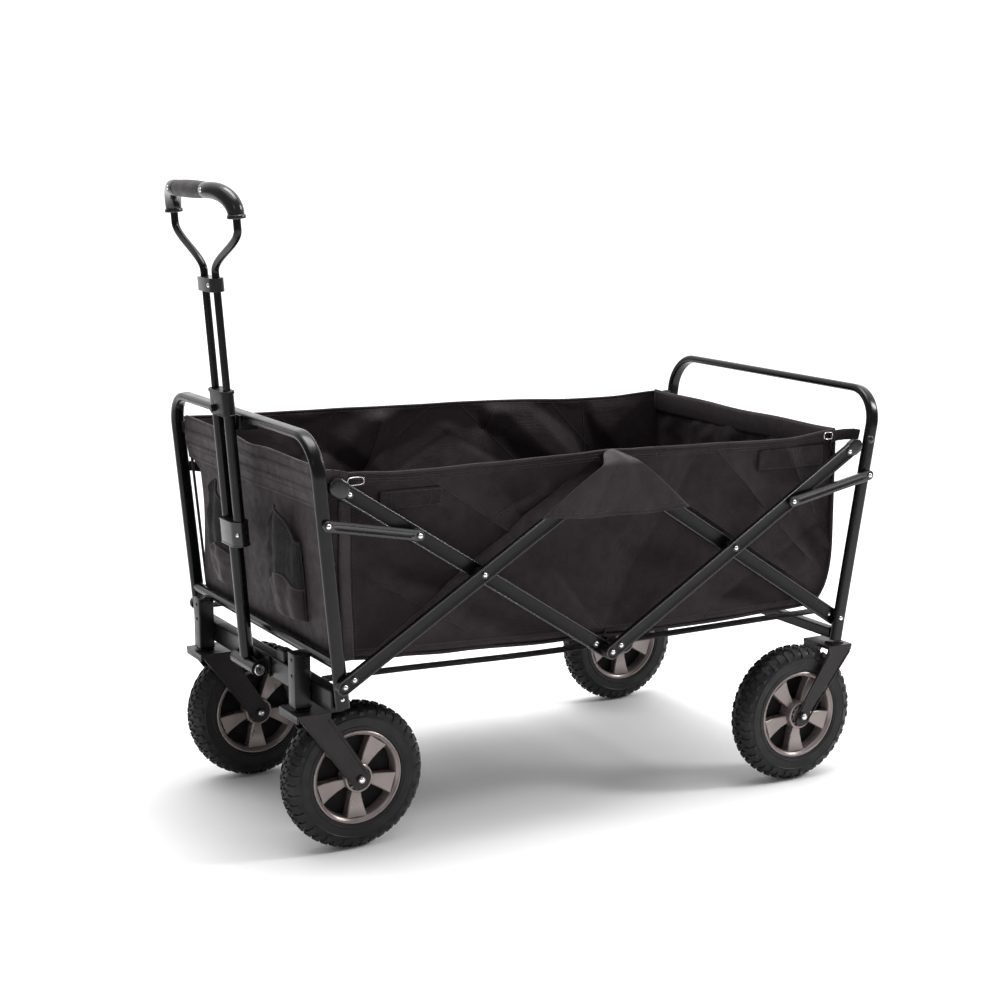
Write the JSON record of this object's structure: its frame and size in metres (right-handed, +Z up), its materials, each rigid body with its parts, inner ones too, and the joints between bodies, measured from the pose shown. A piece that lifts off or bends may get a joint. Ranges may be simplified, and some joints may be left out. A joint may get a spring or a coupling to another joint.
{
  "type": "folding camp wagon",
  "caption": "Folding camp wagon with a fabric tub on a scissor frame, swivel front castors, fixed rear wheels and a telescopic pull handle",
  "frame": {"origin": "on the ground under the middle of the overall length and width, with the wagon open and its handle parked upright and pulled out", "axes": "+X to the rear (the pull handle is at -X), +Z up, -Y the near side"},
  "size_m": [1.0183, 0.5676, 0.9249],
  "materials": {
    "powder_black": "satin black powder coat on steel tube",
    "zinc_bolt": "bright zinc-plated steel",
    "tyre_rubber": "matt black rubber with a block tread",
    "rim_plastic": "warm dark grey moulded plastic with a satin sheen",
    "black_plastic": "black moulded plastic",
    "soft_grip": "soft dark grey grip",
    "polyester": "black woven polyester",
    "mesh_cloth": "black mesh and polyester"
  },
  "bodies": {
    "front_frame": {"front_hoop": "powder_black", "front_crossbar": "powder_black", "front_axle_beam": "powder_black", "castor_housing_near": "powder_black", "castor_housing_far": "powder_black", "handle_bracket": "powder_black", "hoop_clip": "black_plastic", "handle_stop": "black_plastic", "handle_pivot_bolt": "zinc_bolt", "bag": "polyester", "cup_pocket_near": "mesh_cloth", "cup_pocket_far": "mesh_cloth", "floor_strap_near": "polyester", "floor_strap_far": "polyester", "side_flap_near": "polyester", "side_flap_far": "polyester"},
    "rear_frame": {"rear_hoop": "powder_black", "rear_crossbar": "powder_black", "rear_fork_near": "powder_black", "rear_fork_far": "powder_black", "axle_rear_near": "zinc_bolt", "axle_rear_far": "zinc_bolt"},
    "handle_lower": {"handle_sleeve": "powder_black", "handle_lower_tube": "powder_black", "handle_collar": "black_plastic", "handle_outer_tube_near": "powder_black", "handle_outer_tube_far": "powder_black", "handle_block": "black_plastic"},
    "handle_upper": {"handle_inner_tube_near": "powder_black", "handle_inner_tube_far": "powder_black", "handle_clamp": "black_plastic", "handle_grip": "soft_grip", "grip_corner_near": "black_plastic", "grip_corner_far": "black_plastic"},
    "button": {"release_button": "black_plastic"},
    "castor_near": {"castor_fork_near": "powder_black", "axle_front_near": "zinc_bolt"},
    "wheel_front_near": {"tyre_front_near": "tyre_rubber", "rim_front_near": "rim_plastic"},
    "wheel_rear_near": {"tyre_rear_near": "tyre_rubber", "rim_rear_near": "rim_plastic"},
    "bar_front_rising_near_body": {"bar_front_rising_near": "powder_black"},
    "bar_front_falling_near_body": {"bar_front_falling_near": "powder_black"},
    "bar_rear_rising_near_body": {"bar_rear_rising_near": "powder_black"},
    "bar_rear_falling_near_body": {"bar_rear_falling_near": "powder_black"},
    "link_front_near_body": {"link_front_near": "powder_black"},
    "link_rear_near_body": {"link_rear_near": "powder_black"},
    "castor_far": {"castor_fork_far": "powder_black", "axle_front_far": "zinc_bolt"},
    "wheel_front_far": {"tyre_front_far": "tyre_rubber", "rim_front_far": "rim_plastic"},
    "wheel_rear_far": {"tyre_rear_far": "tyre_rubber", "rim_rear_far": "rim_plastic"},
    "bar_front_rising_far_body": {"bar_front_rising_far": "powder_black"},
    "bar_front_falling_far_body": {"bar_front_falling_far": "powder_black"},
    "bar_rear_rising_far_body": {"bar_rear_rising_far": "powder_black"},
    "bar_rear_falling_far_body": {"bar_rear_falling_far": "powder_black"},
    "link_front_far_body": {"link_front_far": "powder_black"},
    "link_rear_far_body": {"link_rear_far": "powder_black"}
  },
  "joints": [
    {"name": "fold", "type": "hinge", "parent": "front_frame", "child": "bar_front_rising_near_body", "pos_m": [-0.40572, -0.2733, 0.261], "axis": [0, -1, 0], "range_deg": [0, 43], "deforming": ["bag", "cup_pocket_near", "cup_pocket_far", "floor_strap_near", "floor_strap_far", "side_flap_near", "side_flap_far"]},
    {"name": "front_cross_near", "type": "hinge", "parent": "bar_front_rising_near_body", "child": "bar_front_falling_near_body", "pos_m": [-0.19125, -0.2527, 0.39143], "axis": [0, -1, 0], "range_deg": [-86, 0]},
    {"name": "low_joint_near", "type": "hinge", "parent": "bar_front_falling_near_body", "child": "bar_rear_rising_near_body", "pos_m": [0.01853, -0.2733, 0.2536], "axis": [0, -1, 0], "range_deg": [0, 86]},
    {"name": "rear_cross_near", "type": "hinge", "parent": "bar_rear_rising_near_body", "child": "bar_rear_falling_near_body", "pos_m": [0.233, -0.2527, 0.38403], "axis": [0, -1, 0], "range_deg": [-86, 0]},
    {"name": "rear_pivot", "type": "hinge", "parent": "bar_rear_falling_near_body", "child": "rear_frame", "pos_m": [0.44278, -0.2527, 0.2462], "axis": [0, -1, 0], "range_deg": [0, 43]},
    {"name": "front_link_near", "type": "hinge", "parent": "front_frame", "child": "link_front_near_body", "pos_m": [-0.42422, -0.2733, 0.4825], "axis": [0, -1, 0], "range_deg": [0, 77.7]},
    {"name": "rear_link_near", "type": "hinge", "parent": "rear_frame", "child": "link_rear_near_body", "pos_m": [0.47778, -0.2733, 0.473], "axis": [0, -1, 0], "range_deg": [-74.3, 0]},
    {"name": "front_rising_far", "type": "hinge", "parent": "front_frame", "child": "bar_front_rising_far_body", "pos_m": [-0.40572, 0.2733, 0.261], "axis": [0, -1, 0], "range_deg": [0, 43]},
    {"name": "front_cross_far", "type": "hinge", "parent": "bar_front_rising_far_body", "child": "bar_front_falling_far_body", "pos_m": [-0.19125, 0.2527, 0.39143], "axis": [0, -1, 0], "range_deg": [-86, 0]},
    {"name": "low_joint_far", "type": "hinge", "parent": "bar_front_falling_far_body", "child": "bar_rear_rising_far_body", "pos_m": [0.01853, 0.2733, 0.2536], "axis": [0, -1, 0], "range_deg": [0, 86]},
    {"name": "rear_cross_far", "type": "hinge", "parent": "bar_rear_rising_far_body", "child": "bar_rear_falling_far_body", "pos_m": [0.233, 0.2527, 0.38403], "axis": [0, -1, 0], "range_deg": [-86, 0]},
    {"name": "front_link_far", "type": "hinge", "parent": "front_frame", "child": "link_front_far_body", "pos_m": [-0.42422, 0.2733, 0.4825], "axis": [0, -1, 0], "range_deg": [0, 77.7]},
    {"name": "rear_link_far", "type": "hinge", "parent": "rear_frame", "child": "link_rear_far_body", "pos_m": [0.47778, 0.2733, 0.473], "axis": [0, -1, 0], "range_deg": [-74.3, 0]},
    {"name": "castor_swivel_near", "type": "hinge", "parent": "front_frame", "child": "castor_near", "pos_m": [-0.42922, -0.181, 0.213], "axis": [0, 0, 1], "continuous": true},
    {"name": "wheel_spin_front_near", "type": "hinge", "parent": "castor_near", "child": "wheel_front_near", "pos_m": [-0.35322, -0.181, 0.1055], "axis": [0, 1, 0], "continuous": true},
    {"name": "wheel_spin_rear_near", "type": "hinge", "parent": "rear_frame", "child": "wheel_rear_near", "pos_m": [0.36528, -0.2485, 0.1055], "axis": [0, 1, 0], "continuous": true},
    {"name": "castor_swivel_far", "type": "hinge", "parent": "front_frame", "child": "castor_far", "pos_m": [-0.42922, 0.181, 0.213], "axis": [0, 0, 1], "continuous": true},
    {"name": "wheel_spin_front_far", "type": "hinge", "parent": "castor_far", "child": "wheel_front_far", "pos_m": [-0.35322, 0.181, 0.1055], "axis": [0, 1, 0], "continuous": true},
    {"name": "wheel_spin_rear_far", "type": "hinge", "parent": "rear_frame", "child": "wheel_rear_far", "pos_m": [0.36528, 0.2485, 0.1055], "axis": [0, 1, 0], "continuous": true},
    {"name": "handle_pitch", "type": "hinge", "parent": "front_frame", "child": "handle_lower", "pos_m": [-0.43222, 0, 0.233], "axis": [0, -1, 0], "range_deg": [0, 95]},
    {"name": "handle_slide", "type": "slide", "parent": "handle_lower", "child": "handle_upper", "axis": [0.0733, 0, -0.9973], "range_m": [0, 0.13]},
    {"name": "button_press", "type": "slide", "parent": "handle_lower", "child": "button", "axis": [0.9973, 0, 0.0733], "range_m": [0, 0.003], "stiffness_N_per_m": 600}
  ],
  "couplings": [
    {"joint": "front_cross_near", "follows": "fold", "ratio": -2},
    {"joint": "low_joint_near", "follows": "fold", "ratio": 2},
    {"joint": "rear_cross_near", "follows": "fold", "ratio": -2},
    {"joint": "rear_pivot", "follows": "fold", "ratio": 1},
    {"joint": "front_link_near", "follows": "fold", "ratio": 1.805},
    {"joint": "rear_link_near", "follows": "fold", "ratio": -1.726},
    {"joint": "front_rising_far", "follows": "fold", "ratio": 1},
    {"joint": "front_cross_far", "follows": "fold", "ratio": -2},
    {"joint": "low_joint_far", "follows": "fold", "ratio": 2},
    {"joint": "rear_cross_far", "follows": "fold", "ratio": -2},
    {"joint": "front_link_far", "follows": "fold", "ratio": 1.805},
    {"joint": "rear_link_far", "follows": "fold", "ratio": -1.726}
  ]
}
